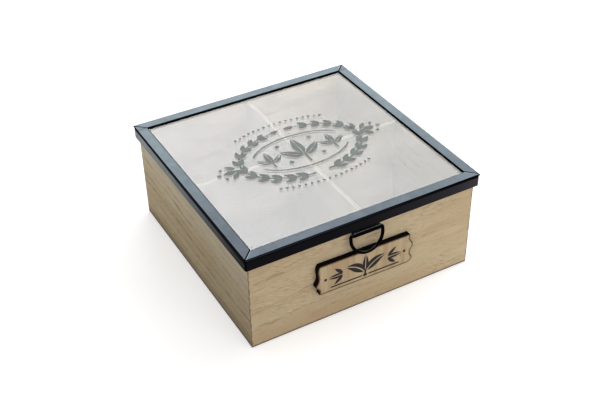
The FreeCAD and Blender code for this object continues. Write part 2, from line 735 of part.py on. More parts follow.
def main():
    """Write each node as a STEP file and print the sizes that the joints use."""
    os.makedirs("parts", exist_ok=True)
    for name, shape in make_parts().items():
        shape.exportStep("parts/" + name + ".step")
        print(name, "solids", len(shape.Solids), "valid", shape.isValid(), "volume", round(shape.Volume, 1))
    print("lid pivot y z", round(PIVOT_Y, 3), round(PIVOT_Z, 3), "stop", round(lid_stop_angle(), 2))
    print("ring pivot x y z", PULL_CENTRE_X, round(RING_Y, 3), round(RING_Z, 3),
          "rest tilt", round(ring_rest_tilt(), 2), "stop", round(ring_stop_angle(), 2))


main()
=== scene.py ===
"""Looks of a square wooden tea box with a hinged lid of glass in black sheet metal.

Every object is in metres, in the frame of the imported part: +X to the right along the front, +Y to
the back, +Z up, and the origin at the centre of the underside. Sizes in the classes below are in
millimetres, and MM turns them into metres.
"""
import logging
import math
from collections.abc import Callable
from dataclasses import dataclass, replace
from enum import Enum
from functools import partial

import bpy
import numpy as np
from mathutils import Matrix, Vector


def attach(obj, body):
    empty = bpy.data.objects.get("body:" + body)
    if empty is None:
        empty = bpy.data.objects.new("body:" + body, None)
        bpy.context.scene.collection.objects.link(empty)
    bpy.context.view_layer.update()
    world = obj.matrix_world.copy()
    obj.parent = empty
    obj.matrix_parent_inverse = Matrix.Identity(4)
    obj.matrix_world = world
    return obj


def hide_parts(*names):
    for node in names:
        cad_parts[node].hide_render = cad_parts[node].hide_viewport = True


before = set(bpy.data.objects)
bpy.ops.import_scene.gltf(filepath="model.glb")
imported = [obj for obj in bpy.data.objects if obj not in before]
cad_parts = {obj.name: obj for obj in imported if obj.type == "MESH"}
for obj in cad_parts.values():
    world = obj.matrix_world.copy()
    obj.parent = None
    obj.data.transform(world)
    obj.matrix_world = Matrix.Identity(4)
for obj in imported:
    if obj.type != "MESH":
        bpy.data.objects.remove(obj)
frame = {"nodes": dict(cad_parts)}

LOG = logging.getLogger("tea_box")
MM = 0.001
IMAGE_WIDTH = 600
WHITE = (1.0, 1.0, 1.0, 1.0)
# Gap that keeps a print or a bead off the face under it, in millimetres.
CLEAR = 0.01


class Axis(Enum):
    """Direction that a board's grain runs in."""

    X = 0
    Y = 1


def srgb(red: int, green: int, blue: int) -> tuple[float, float, float, float]:
    """Linear colour of an sRGB triplet from 0 to 255.

    Args:
        red: Red channel.
        green: Green channel.
        blue: Blue channel.

    Returns:
        Red, green, blue and an alpha of 1.
    """
    shares = np.array([red, green, blue]) / 255
    linear = np.where(shares <= 0.04045, shares / 12.92, ((shares + 0.055) / 1.055) ** 2.4)
    return (*(float(value) for value in linear), 1.0)


class Graph:
    """Node tree with a short call for each kind of node that the finishes and the studio use.

    Wherever a call takes a value, it may be a number, a colour or the socket of another node.
    """

    def __init__(self, tree: bpy.types.NodeTree) -> None:
        """Take the node tree to add to."""
        self.tree = tree

    def add(self, kind: str, inputs: dict | None = None, **settings: object) -> bpy.types.Node:
        """Add a node.

        Args:
            kind: The node's type after "ShaderNode".
            inputs: Values by input name or index.
            settings: Properties of the node.

        Returns:
            The new node.
        """
        node = self.tree.nodes.new("ShaderNode" + kind)
        for key, value in settings.items():
            setattr(node, key, value)
        for key, value in (inputs or {}).items():
            self.feed(node.inputs[key], value)
        return node

    def feed(self, socket: bpy.types.NodeSocket, value: object) -> None:
        """Link a socket into an input, or set the input to a value.

        Args:
            socket: The input.
            value: What it gets.
        """
        if isinstance(value, bpy.types.NodeSocket):
            self.tree.links.new(value, socket)
        else:
            socket.default_value = value

    def maths(self, operation: str, *values: object) -> bpy.types.NodeSocket:
        """Result of one Math node."""
        return self.add("Math", dict(enumerate(values)), operation=operation).outputs[0]

    def plus(self, first: object, second: object) -> bpy.types.NodeSocket:
        """Sum of two values."""
        return self.maths("ADD", first, second)

    def less(self, first: object, second: object) -> bpy.types.NodeSocket:
        """First value less the second."""
        return self.maths("SUBTRACT", first, second)

    def scaled(self, value: object, gain: object, start: object) -> bpy.types.NodeSocket:
        """Value times a gain, plus a start."""
        return self.maths("MULTIPLY_ADD", value, gain, start)

    def times(self, product: object, *factors: object) -> bpy.types.NodeSocket:
        """Product of all the values.

        Args:
            product: The first value.
            factors: The other values.

        Returns:
            The value socket.
        """
        for factor in factors:
            product = self.maths("MULTIPLY", product, factor)
        return product

    def step(self, value: object, low: float, high: float) -> bpy.types.NodeSocket:
        """Smooth step that is 0 at low and 1 at high; high may be the smaller of the two.

        Args:
            value: What is compared.
            low: Where it leaves 0.
            high: Where it reaches 1.

        Returns:
            The value socket.
        """
        rising = low < high
        inputs = {"Value": value, "From Min": min(low, high), "From Max": max(low, high),
                  "To Min": 0.0 if rising else 1.0, "To Max": 1.0 if rising else 0.0}
        return self.add("MapRange", inputs, interpolation_type="SMOOTHSTEP").outputs[0]

    def band(self, value: object, start: float, full: float, last: float,
             end: float) -> bpy.types.NodeSocket:
        """Smooth band: it rises from 0 at start to 1 at full, and falls from 1 at last to 0 at end."""
        return self.times(self.step(value, start, full), self.step(value, end, last))

    def mix(self, share: object, first: object, second: object) -> bpy.types.NodeSocket:
        """Mix of two colours with the given share of the second."""
        return self.add("Mix", {0: share, 6: first, 7: second}, data_type="RGBA").outputs[2]

    def layered(self, colour: object, *layers: tuple[object, object]) -> bpy.types.NodeSocket:
        """Colour with others laid over it in turn.

        Args:
            colour: The lowest colour.
            layers: Share and colour of each layer.

        Returns:
            The colour socket.
        """
        for share, tone in layers:
            colour = self.mix(share, colour, tone)
        return colour


class Surface(Graph):
    """Node tree of one new material, with the object's coordinates in millimetres and its normal."""

    def __init__(self, name: str) -> None:
        """Make an empty material.

        Args:
            name: The material's name.
        """
        self.material = bpy.data.materials.new(name)
        self.material.use_nodes = True
        super().__init__(self.material.node_tree)
        self.tree.nodes.clear()
        coordinates = self.add("TexCoord").outputs
        scale = self.add("VectorMath", {"Vector": coordinates["Object"], "Scale": 1 / MM}, operation="SCALE")
        self.place = scale.outputs["Vector"]
        split = self.add("SeparateXYZ", {"Vector": self.place}).outputs
        self.x, self.y, self.z = (split[letter] for letter in "XYZ")
        self.facing = self.add("SeparateXYZ", {"Vector": coordinates["Normal"]}).outputs

    def noise(self, sizes: tuple[float, float, float] | float, seed: float, detail: float = 3.0,
              bend: float = 0.0, place: object | None = None) -> bpy.types.NodeSocket:
        """Noise about 0.5 whose features have the given sizes in millimetres along X, Y and Z.

        Args:
            sizes: Feature sizes, or one size for all three.
            seed: Moves the pattern.
            detail: Octaves.
            bend: Distortion.
            place: Coordinates to use in place of the object's own.

        Returns:
            The value socket.
        """
        across = sizes if isinstance(sizes, tuple) else (sizes,) * 3
        stretched = self.add("Mapping", {
            "Vector": self.place if place is None else place,
            "Location": (seed * 7.31, seed * 3.17, seed * 5.73),
            "Scale": tuple(1 / size for size in across),
        })
        return self.add("TexNoise", {
            "Vector": stretched.outputs["Vector"],
            "Scale": 1.0,
            "Detail": detail,
            "Roughness": 0.55,
            "Distortion": bend,
        }).outputs[0]

    def bump(self, height: object, depth: float, after: object | None = None) -> bpy.types.NodeSocket:
        """Normal bent by a height.

        Args:
            height: Height socket from 0 to 1.
            depth: Real depth of that height in millimetres.
            after: An earlier bump's normal, if any.

        Returns:
            The normal socket.
        """
        inputs = {"Height": height, "Distance": depth * MM, "Strength": 1.0}
        if after is not None:
            inputs["Normal"] = after
        return self.add("Bump", inputs).outputs["Normal"]

    def output(self, shader: bpy.types.Node) -> bpy.types.Material:
        """Join a shader to the output and give the material."""
        self.add("OutputMaterial", {"Surface": shader.outputs[0]})
        return self.material

    def finish(self, colour: object, rough: object, normal: object, specular: float = 0.5,
               metallic: float = 0.0) -> bpy.types.Material:
        """Join a Principled shader to the output.

        Args:
            colour: Its base colour.
            rough: Its roughness.
            normal: Its normal.
            specular: Its specular level.
            metallic: 1 for a metal.

        Returns:
            The material.
        """
        return self.output(self.add("BsdfPrincipled", {
            "Base Color": colour,
            "Roughness": rough,
            "Normal": normal,
            "Specular IOR Level": specular,
            "Metallic": metallic,
        }))


@dataclass(frozen=True)
class WoodFinish:
    """Bare wood: drifting tone, broken growth lines, ripple figure, fine fibre and open pores.

    The pattern lies in the board's own coordinates: along the grain, across it, and through it.
    Its growth lines lie line_gap apart and climb by slant. Painted shade makes the board browner
    towards one end and at its foot, edge makes it browner on the faces that look up, and painted
    light makes it paler at its head.
    """

    name: str
    grain: Axis
    pale: tuple
    warm: tuple
    brown: tuple
    line_gap: float
    line_share: float
    figure: float
    pores: float
    seed: float
    line_width: float = 0.5
    wander: float = 3.2
    halo: float = 0.12
    slant: float = 0.0
    ripple_slant: float = -0.28
    through: float = 0.9
    depth: float = 0.12
    # Painted shade: share of brown towards one end of the board, along the run below.
    end_shade: float = 0.0
    end_shade_run: tuple[float, float] = (75.0, -95.0)
    edge: float = 0.0
    # Painted light: share of a paler tone towards the board's head.
    painted_light_head: float = 0.0
    head_rise: tuple[float, float] = (30.0, 72.0)
    # Painted shade: share of brown towards the board's foot.
    painted_foot_shade: float = 0.0
    foot_rise: tuple[float, float] = (15.0, -1.0)
    seams: bool = False
    seam_reach: tuple[float, float] = (86.2, 87.0)
    # Painted shade along the very foot: heights where it starts and where it is full.
    foot_shade_line: tuple[float, float] = (2.1, 0.9)
    shine: tuple = srgb(236, 220, 190)
    pore: tuple = srgb(84, 62, 42)
    head_light_tone: tuple = srgb(226, 218, 200)
    glue: tuple = srgb(96, 66, 38)
    # Colour of the painted shade along the foot.
    foot_shade_tone: tuple = srgb(74, 56, 38)

    def space(self, g: Surface, slant: float) -> tuple[object, object, object]:
        """Board coordinates in millimetres.

        Across the grain is the height plus a share of the other level direction, less the slant
        for each millimetre along.

        Args:
            g: The graph.
            slant: Climb for each millimetre along.

        Returns:
            The vector, the place along and the place across.
        """
        length, other = (g.x, g.y) if self.grain is Axis.X else (g.y, g.x)
        across = g.scaled(length, -slant, g.scaled(other, self.through, g.z))
        return g.add("CombineXYZ", {0: length, 1: across, 2: other}).outputs[0], length, across

    def build(self) -> bpy.types.Material:
        """Make the material: each layer darkens or warms the one before it.

        Returns:
            The material.
        """
        g = Surface(self.name)
        board, length, across = self.space(g, self.slant)
        layer = partial(g.noise, place=board)
        drift = layer((150, 22, 22), self.seed)
        fibre = layer((14, 0.5, 0.5), self.seed + 3, 4)
        near = g.step(layer((60, 20, 30), self.seed + 5, 1), 0.38, 0.62)
        ripple_board = self.space(g, self.slant + self.ripple_slant)[0]
        ripple = g.noise((6.0, 0.9, 4.0), self.seed + 4, 2, 0.4, ripple_board)
        figure = g.times(g.less(ripple, 0.5), g.scaled(near, 0.7, 0.3))
        pore = g.times(g.step(layer((4.5, 0.75, 0.75), self.seed + 7, 1), 0.67, 0.73), self.pores)
        colour = g.layered(
            g.mix(g.step(drift, 0.28, 0.72), self.pale, self.warm),
            # painted shade towards one end of the board
            (g.times(g.step(length, *self.end_shade_run), self.end_shade), self.brown),
            (self.growth_lines(g, layer, across), self.brown),
            (g.times(g.step(fibre, 0.40, 0.74), 0.24), self.brown),
            (g.times(g.step(figure, 0.03, 0.22), self.figure), self.brown),
            (g.times(g.step(figure, -0.03, -0.24), self.figure * 0.9), self.shine),
            (pore, self.pore),
            (g.times(g.step(g.facing["Z"], 0.8, 0.95), self.edge), self.brown),
            # painted light: paler towards the head
            (g.times(g.step(g.z, *self.head_rise), self.painted_light_head), self.head_light_tone),
            # painted shade towards the foot
            (g.times(g.step(g.z, *self.foot_rise), self.painted_foot_shade), self.brown),
        )
        if self.seams:
            colour = self.darken_seams(g, colour)
        height = g.scaled(pore, -0.8, g.plus(fibre, figure))
        return g.finish(colour, g.scaled(fibre, 0.22, 0.58), g.bump(height, self.depth), specular=0.3)

    def growth_lines(self, g: Surface, layer: Callable, across: object) -> bpy.types.NodeSocket:
        """Thin lines a set gap apart across the grain, wandering with noise and broken into dashes.

        Args:
            g: The graph.
            layer: Noise in the board's coordinates.
            across: The place across the grain.

        Returns:
            How strong the line is.
        """
        bend = layer((210, 24, 24), self.seed + 1, 3, 0.4)
        level = g.scaled(bend, self.line_gap * self.wander, across)
        phase = g.maths("FRACT", g.times(level, 1 / self.line_gap))
        spread = g.scaled(layer((26, 4.5, 4.5), self.seed + 8, 2), 1.3, 0.35)
        off = g.times(g.maths("ABSOLUTE", g.less(phase, 0.5)), self.line_gap, spread)
        dash = g.step(layer((8, 2.4, 2.4), self.seed + 2, 2), 0.43, 0.57)
        worn = g.step(layer((95, 6, 6), self.seed + 6, 1), 0.36, 0.62)
        core = g.times(g.step(off, self.line_width, 0.1), g.scaled(dash, 0.85, 0.15),
                       g.scaled(worn, 0.78, 0.22))
        halo = g.band(phase, 0.15, 0.5, 0.5, 0.56)
        return g.times(g.scaled(halo, self.halo, core), self.line_share)

    def darken_seams(self, g: Surface, colour: object) -> bpy.types.NodeSocket:
        """Glue line at the box's upright corners, and painted shade along its foot.

        Args:
            g: The graph.
            colour: The wood's colour so far.

        Returns:
            The darkened colour.
        """
        wander = g.scaled(g.noise((3.0, 3.0, 4.0), self.seed + 9), 2.6, -1.3)
        reach = g.maths("MINIMUM", g.maths("ABSOLUTE", g.x), g.maths("ABSOLUTE", g.y))
        corner = g.step(g.plus(reach, wander), *self.seam_reach)
        # painted shade along the foot
        foot = g.step(g.scaled(wander, 0.3, g.z), *self.foot_shade_line)
        return g.layered(colour, (g.times(corner, 0.75), self.glue), (g.times(foot, 0.85), self.foot_shade_tone))


@dataclass(frozen=True)
class EnamelFinish:
    """Satin black enamel over small metal parts, perhaps with a painted highlight along its upper side."""

    name: str
    black: tuple
    worn: tuple
    rough: float
    seed: float
    gloss: float = 0.04
    painted_highlight: tuple | None = None

    def coat(self, g: Surface, colour: object, mottle: object) -> bpy.types.Material:
        """Join the enamel's gloss and its fine orange peel to a colour.

        Args:
            g: The graph.
            colour: The enamel's colour.
            mottle: Cloudy noise that also varies the gloss.

        Returns:
            The material.
        """
        peel = g.bump(g.noise(0.9, self.seed + 2, 2), 0.006)
        wave = g.bump(g.noise(16.0, self.seed + 3, 1), 0.02, peel)
        return g.finish(colour, g.scaled(mottle, 0.14, self.rough - 0.06), wave, specular=self.gloss)

    def mottle(self, g: Surface) -> bpy.types.NodeSocket:
        """Clouds with finer specks in them."""
        speck = g.times(g.noise(1.6, self.seed + 1, 2), 0.3)
        return g.scaled(g.noise(9.0, self.seed), 0.7, speck)

    def build(self) -> bpy.types.Material:
        """Make the material.

        Returns:
            The material.
        """
        g = Surface(self.name)
        mottle = self.mottle(g)
        colour = g.mix(g.step(mottle, 0.45, 0.8), self.black, self.worn)
        # Painted highlight on faces that look partly up.
        if self.painted_highlight:
            highlight_band = g.band(g.facing["Z"], 0.74, 0.86, 0.92, 0.98)
            colour = g.mix(g.times(highlight_band, g.step(mottle, 0.3, 0.6)), colour, self.painted_highlight)
        return self.coat(g, colour, mottle)


@dataclass(frozen=True)
class FrameFinish(EnamelFinish):
    """The lid frame's enamel: painted blue-grey reflections on its flat top and skirt, painted glints, dark
    folded joints.

    Its flat faces are told apart by their normal in the part's frame.
    """

    # Painted reflection of the lamps on the flange's flat top, brighter towards the back and right.
    reflection_near: tuple = srgb(118, 127, 137)
    reflection_far: tuple = srgb(153, 167, 175)
    reflection_run: tuple[float, float] = (-100.0, 60.0)
    reflection_side: tuple[float, float] = (20.0, 100.0)
    # Painted highlight on the front and back arms and beside each mitre.
    glint: tuple = srgb(176, 190, 198)
    back_lip_shade: tuple[float, float, float, float] = (81.7, 81.9, 82.1, 82.5)
    # Painted reflection on the left skirt, with where it starts and how it grows.
    left_reflection: tuple = srgb(160, 166, 170)
    left_reflection_top: tuple[float, float] = (74.95, 74.35)
    left_reflection_run: tuple[float, float] = (-122.0, 100.0)
    # Painted reflection on the front skirt, growing to the right.
    front_reflection: tuple = srgb(70, 68, 74)
    front_reflection_top: tuple[float, float] = (75.9, 75.3)
    front_reflection_run: tuple[float, float] = (-30.0, 130.0)
    front_reflection_end: tuple[float, float] = (66.0, 96.0)
    # Painted highlight on the front hem.
    hem_highlight: tuple = srgb(58, 66, 78)
    hem_foot: tuple[float, float] = (76.4, 76.7)
    hem_run: tuple[float, float] = (80.0, -60.0)
    joint: tuple = srgb(4, 4, 5)
    joint_band: tuple[float, float, float, float] = (-0.4, -0.1, 0.9, 1.3)
    joint_glint: tuple[float, float, float, float] = (-1.3, -0.8, -0.4, -0.1)

    def build(self) -> bpy.types.Material:
        """Make the material: the flange's top first, then the sides of the skirt and the joints.

        Returns:
            The material.
        """
        g = Surface(self.name)
        mottle = self.mottle(g)
        soft = g.scaled(mottle, 0.6, 0.48)
        skew = g.less(g.maths("ABSOLUTE", g.x), g.maths("ABSOLUTE", g.y))
        top_reflection = g.layered(
            g.mix(g.step(g.y, *self.reflection_run), self.reflection_near, self.reflection_far),
            (g.times(g.step(g.x, *self.reflection_side), 0.45), self.reflection_far),
            # painted glint on the front and back arms
            (g.times(g.step(skew, 0.3, -0.3), 0.16), self.glint),
        )
        # The band beside the back flange's cut edge gets no painted reflection, so it reads as painted
        # shade.
        open_top = g.less(1.0, g.band(g.y, *self.back_lip_shade))
        top = g.times(g.step(g.facing["Z"], 0.93, 0.985), soft, open_top)
        skew = g.plus(skew, g.scaled(g.noise(70.0, self.seed + 5, 1), 0.6, -0.3))
        colour = g.layered(
            g.mix(top, self.black, top_reflection),
            (g.times(self.left_skirt_reflection(g), soft), self.left_reflection),
            *self.front_layers(g),
            # painted glint beside each mitre
            (g.times(g.band(skew, *self.joint_glint), top, 0.7), self.glint),
            (g.band(skew, *self.joint_band), self.joint),
        )
        return self.coat(g, colour, mottle)

    def left_skirt_reflection(self, g: Surface) -> bpy.types.NodeSocket:
        """Painted reflection on the left skirt, below a line that climbs a little to the back, and more
        there.
        """
        left = g.step(g.facing["X"], -0.9, -0.97)
        return g.times(left, g.step(g.scaled(g.y, -0.008, g.z), *self.left_reflection_top), g.step(g.y, *self.left_reflection_run))

    def front_layers(self, g: Surface) -> tuple[tuple[object, object], ...]:
        """Painted reflection on the front skirt that grows to the right, and a bluish painted highlight on
        the hem above it to the left.

        Args:
            g: The graph.

        Returns:
            Share and colour of each.
        """
        ahead = g.times(g.step(g.facing["Y"], -0.9, -0.97), g.step(g.y, -84, -86))
        growth = g.scaled(g.step(g.x, *self.front_reflection_run), 0.52, 0.1)
        growth = g.scaled(g.step(g.x, *self.front_reflection_end), 0.3, growth)
        front_reflection = g.times(ahead, g.step(g.z, *self.front_reflection_top), growth)
        hem_highlight = g.times(ahead, g.step(g.z, *self.hem_foot), g.step(g.x, *self.hem_run), 0.6)
        return (front_reflection, self.front_reflection), (hem_highlight, self.hem_highlight)


@dataclass(frozen=True)
class SteelFinish:
    """Bright plated steel with fine drawing marks and dull patches."""

    name: str
    colour: tuple
    rough: float
    seed: float
    dull: tuple = srgb(122, 116, 104)

    def build(self) -> bpy.types.Material:
        """Make the material.

        Returns:
            The material.
        """
        g = Surface(self.name)
        drawn = g.noise((4.0, 0.12, 0.12), self.seed)
        patch = g.noise(1.1, self.seed + 1)
        colour = g.mix(g.step(patch, 0.4, 0.75), self.colour, self.dull)
        return g.finish(colour, g.scaled(patch, 0.25, self.rough), g.bump(drawn, 0.008), metallic=1.0)


@dataclass(frozen=True)
class GlassFinish:
    """Clear float glass with a thin film. Lamps shine through it by a plain transparent path."""

    name: str
    tint: tuple
    shade: tuple
    film: tuple = srgb(236, 240, 238)

    def build(self) -> bpy.types.Material:
        """Make the material.

        Returns:
            The material.
        """
        g = Surface(self.name)
        film = g.step(g.noise((60.0, 40.0, 60.0), 3.0, 2, 0.5), 0.35, 0.7)
        glass = g.add("BsdfPrincipled", {
            "Base Color": g.mix(film, self.tint, self.film),
            "Roughness": 0.0,
            "IOR": 1.5,
            "Transmission Weight": 1.0,
        })
        clear = g.add("BsdfTransparent", {"Color": self.shade})
        shadow = g.add("LightPath").outputs["Is Shadow Ray"]
        return g.output(g.add("MixShader", {0: shadow, 1: glass.outputs[0], 2: clear.outputs[0]}))


@dataclass(frozen=True)
class InkFinish:
    """Matte ink, also used for the black bead of painted shade, a little uneven where it lies thin."""

    name: str
    thick: tuple
    thin: tuple
    seed: float
    gloss: float = 0.25

    def build(self) -> bpy.types.Material:
        """Make the material.

        Returns:
            The material.
        """
        g = Surface(self.name)
        patch = g.noise(2.4, self.seed)
        colour = g.mix(g.step(patch, 0.45, 0.75), self.thick, self.thin)
        return g.finish(colour, 0.7, g.bump(patch, 0.01), specular=self.gloss)


@dataclass(frozen=True)
class PlaqueFinish:
    """Pale pinkish wood with upright grain, burnt black on its cut sides and brown along its rim.

    It reads the piece's own attributes: rim is the distance from the outline, and side is 1 on the
    cut sides and the back.
    """

    name: str
    pale: tuple
    warm: tuple
    burnt: tuple
    scorch: tuple
    fibre: tuple = srgb(146, 118, 88)
    fleck: tuple = srgb(120, 92, 66)

    def build(self) -> bpy.types.Material:
        """Make the material.

        Returns:
            The material.
        """
        g = Surface(self.name)
        rim = g.add("Attribute", attribute_name="rim").outputs["Fac"]
        side = g.add("Attribute", attribute_name="side").outputs["Fac"]
        drift = g.noise((5.0, 5.0, 40.0), 11.0)
        fibre = g.noise((0.5, 0.5, 14.0), 12.0)
        fleck = g.noise((2.2, 2.2, 9.0), 13.0, 2)
        ragged = g.noise(1.2, 14.0)
        reach = g.plus(rim, g.scaled(ragged, 0.9, -0.45))
        colour = g.layered(
            g.mix(g.step(drift, 0.38, 0.64), self.pale, self.warm),
            (g.times(g.step(fibre, 0.45, 0.72), 0.28), self.fibre),
            (g.times(g.step(fleck, 0.66, 0.74), 0.35), self.fleck),
            (g.times(g.step(reach, 1.7, 0.5), 0.85), self.scorch),
            (g.step(side, 0.2, 0.6), self.burnt),
        )
        return g.finish(colour, 0.72, g.bump(g.scaled(ragged, side, fibre), 0.07), specular=0.04)


def mesh_piece(name: str, points: np.ndarray, faces: np.ndarray, material: bpy.types.Material,
               smooth: bool = True) -> bpy.types.Object:
    """Object at the origin from points in millimetres.

    Args:
        name: The piece's name.
        points: Array of points, one row each.
        faces: Rows of four point numbers.
        material: The piece's material.
        smooth: Whether its faces are shaded smooth.

    Returns:
        The object.
    """
    mesh = bpy.data.meshes.new(name)
    mesh.from_pydata((points * MM).tolist(), [], faces.tolist())
    mesh.polygons.foreach_set("use_smooth", np.full(len(mesh.polygons), smooth))
    mesh.materials.append(material)
    mesh.update()
    piece = bpy.data.objects.new(name, mesh)
    bpy.context.scene.collection.objects.link(piece)
    return piece


def grid_faces(rows: int, columns: int, closed_rows: bool = False,
               closed_columns: bool = False) -> np.ndarray:
    """Quads of a grid of points, counted row by row: each cell joins its four corners.

    Args:
        rows: Number of rows of points.
        columns: Number of points in a row.
        closed_rows: Whether the last row joins the first.
        closed_columns: Whether each row closes on itself.

    Returns:
        One row of four point numbers for each quad.
    """
    number = np.arange(rows * columns).reshape(rows, columns)
    if closed_rows:
        number = np.vstack([number, number[:1]])
    if closed_columns:
        number = np.hstack([number, number[:, :1]])
    corners = (number[:-1, :-1], number[:-1, 1:], number[1:, 1:], number[1:, :-1])
    return np.stack(corners, axis=-1).reshape(-1, 4)


def along(path: np.ndarray) -> tuple[np.ndarray, np.ndarray]:
    """Unit tangents of a flat path and the unit normals to their left.

    Args:
        path: Points of the path, one row of two numbers each.

    Returns:
        Tangents and normals.
    """
    tangent = np.gradient(path, axis=0)
    tangent /= np.linalg.norm(tangent, axis=1, keepdims=True)
    return tangent, np.stack([-tangent[:, 1], tangent[:, 0]], axis=1)


def circle(angles: np.ndarray) -> np.ndarray:
    """Points of the unit circle at the angles, in radians: cosine and sine."""
    return np.stack([np.cos(angles), np.sin(angles)], axis=1)


def bunched(count: int, share: float) -> np.ndarray:
    """Steps from -1 to 1 that lie closer towards both ends: a share of a sine, the rest even."""
    steps = np.linspace(-1, 1, count)
    return np.sin(steps * math.pi / 2) * share + steps * (1 - share)


def cover(nodes: dict, names: tuple[str, ...], material: bpy.types.Material) -> None:
    """Put one material on whole nodes.

    Args:
        nodes: The part's nodes by name.
        names: The nodes to cover.
        material: What they get.
    """
    for name in names:
        mesh = nodes[name].data
        mesh.materials.clear()
        mesh.materials.append(material)
        LOG.info("%s is finished in %s", name, material.name)


class InkSheet:
    """Thin flat print made of strokes: each is a strip carried along a path, wide or narrow as drawn.

    Strokes that cross lie at slightly different heights, so no two of their faces coincide.
    """

    LAYERS = 7
    LEAST_WIDTH = 0.02
    LINE_POINTS = 17
    LEAF_POINTS = 25
    DOT_POINTS = 17
    LOZENGE_POINTS = 9

    def __init__(self, thickness: float) -> None:
        """Start an empty sheet.

        Args:
            thickness: Thickness of the ink in millimetres.
        """
        self.thickness = thickness
        self.points: list[np.ndarray] = []
        self.faces: list[np.ndarray] = []
        self.count = 0

    def stroke(self, path: np.ndarray, widths: np.ndarray) -> None:
        """Add a strip: at each point of the path, four corners half its width to either side.

        Args:
            path: Points of the stroke's middle, one row of two numbers each.
            widths: Width at each point.
        """
        normal = along(path)[1]
        half = np.maximum(widths, self.LEAST_WIDTH)[:, None] / 2
        left, right = path + normal * half, path - normal * half
        low = np.zeros((len(path), 1))
        layer = len(self.points) % self.LAYERS
        high = np.full((len(path), 1), self.thickness * (1 + layer / self.LAYERS))
        pairs = ((right, low), (right, high), (left, high), (left, low))
        ring = np.stack([np.hstack(pair) for pair in pairs], axis=1)
        sides = grid_faces(len(path), 4, closed_columns=True)
        last = 4 * (len(path) - 1)
        ends = np.array([[3, 2, 1, 0], [last, last + 1, last + 2, last + 3]])
        self.faces.append(np.vstack([sides, ends])[:, ::-1] + self.count)
        self.points.append(ring.reshape(-1, 3))
        self.count += 4 * len(path)

    def line(self, start: tuple[float, float], end: tuple[float, float], width: float) -> None:
        """Straight stroke of even width.

        Args:
            start: First point.
            end: Last point.
            width: Its width.
        """
        share = np.linspace(0, 1, self.LINE_POINTS)
        path = np.array(start) + share[:, None] * (np.array(end) - np.array(start))
        self.stroke(path, np.full(len(share), width))

    def leaf(self, foot: tuple[float, float], angle: float, length: float, width: float,
             curl: float = 0.0, vein: float = 0.0) -> None:
        """Leaf on a curved midrib: its width follows half a sine, fuller towards the foot.

        Args:
            foot: Where it starts.
            angle: Its direction at the foot, in degrees.
            length: Its length.
            width: Its greatest width.
            curl: Degrees that the midrib turns through.
            vein: Width of the bare midrib; 0 leaves none bare.
        """
        share = np.linspace(0, 1, self.LEAF_POINTS)
        stride = circle(np.radians(angle + curl * share)) * length / (len(share) - 1)
        path = np.array(foot) + np.vstack([[0, 0], np.cumsum(stride[:-1], axis=0)])
        fullness = width * np.sin(np.pi * share ** 0.8) ** 0.85
        if vein == 0:
            self.stroke(path, fullness)
            return
        half = np.maximum(fullness - vein, 0) / 2
        normal = along(path)[1]
        for side in (-1, 1):
            self.stroke(path + normal * (side * (half + vein) / 2)[:, None], half)

    def disc(self, centre: tuple[float, float], radius: float) -> None:
        """Dot: a strip as wide as the circle's chord at each point.

        Args:
            centre: Its centre.
            radius: Its radius.
        """
        lift = np.cos(np.linspace(math.pi, 0, self.DOT_POINTS))
        path = np.array(centre) + np.outer(lift, (radius, 0.0))
        self.stroke(path, 2 * radius * np.sqrt(np.maximum(1 - lift ** 2, 0)))

    def lozenge(self, centre: tuple[float, float], width: float, height: float) -> None:
        """Diamond: a strip that widens and narrows evenly.

        Args:
            centre: Its centre.
            width: Its full width.
            height: Its full height.
        """
        share = np.linspace(-1, 1, self.LOZENGE_POINTS)
        path = np.array(centre) + np.outer(share, (width / 2, 0.0))
        self.stroke(path, height * (1 - np.abs(share)))

    def drawn(self, height: float) -> tuple[np.ndarray, np.ndarray]:
        """Points and faces of all strokes, with the sheet lying at a height."""
        return np.vstack(self.points) + (0.0, 0.0, height), np.vstack(self.faces)


@dataclass
class WoodenBox:
    """The box body: four mitred walls, the base and the two crossed dividers."""

    front: WoodFinish = WoodFinish(
        "front_wood", Axis.X, srgb(206, 188, 155), srgb(194, 170, 134), srgb(120, 88, 54),
        line_gap=19.0, line_share=0.42, line_width=0.7, halo=0.16, figure=0.42, pores=0.30, seed=4.0,
        slant=0.06, end_shade=0.17, seams=True)
    side: WoodFinish = WoodFinish(
        "side_wood", Axis.Y, srgb(181, 166, 134), srgb(168, 149, 113), srgb(80, 62, 40),
        line_gap=7.6, line_share=0.9, line_width=0.8, halo=0.10, figure=0.12, pores=0.6, seed=9.0,
        wander=2.0, end_shade=0.31, painted_light_head=0.24, painted_foot_shade=0.52, seams=True, foot_shade_line=(3.4, 1.3))
    board: WoodFinish = WoodFinish(
        "divider_wood", Axis.X, srgb(196, 184, 160), srgb(186, 170, 142), srgb(112, 90, 64),
        line_gap=9.0, line_share=0.2, figure=0.12, pores=0.2, seed=15.0, end_shade=0.3, edge=0.42)
    cross_board: WoodFinish = replace(
        board, name="cross_divider_wood", grain=Axis.Y, seed=17.0, end_shade=0.0, edge=0.62)
    base: WoodFinish = WoodFinish(
        "base_wood", Axis.X, srgb(204, 188, 158), srgb(190, 168, 134), srgb(140, 108, 74),
        line_gap=14.0, line_share=0.35, figure=0.15, pores=0.3, seed=21.0)
    brads: SteelFinish = SteelFinish("brad_steel_look", srgb(176, 174, 170), 0.3, 2.0)

    def dress(self, nodes: dict) -> None:
        """Give each board its wood.

        Args:
            nodes: The part's nodes by name.
        """
        cover(nodes, ("front_panel", "back_panel"), self.front.build())
        cover(nodes, ("left_panel", "right_panel"), self.side.build())
        cover(nodes, ("divider_left_right",), self.board.build())
        cover(nodes, ("divider_front_back",), self.cross_board.build())
        cover(nodes, ("base_panel",), self.base.build())
        cover(nodes, ("base_brads",), self.brads.build())


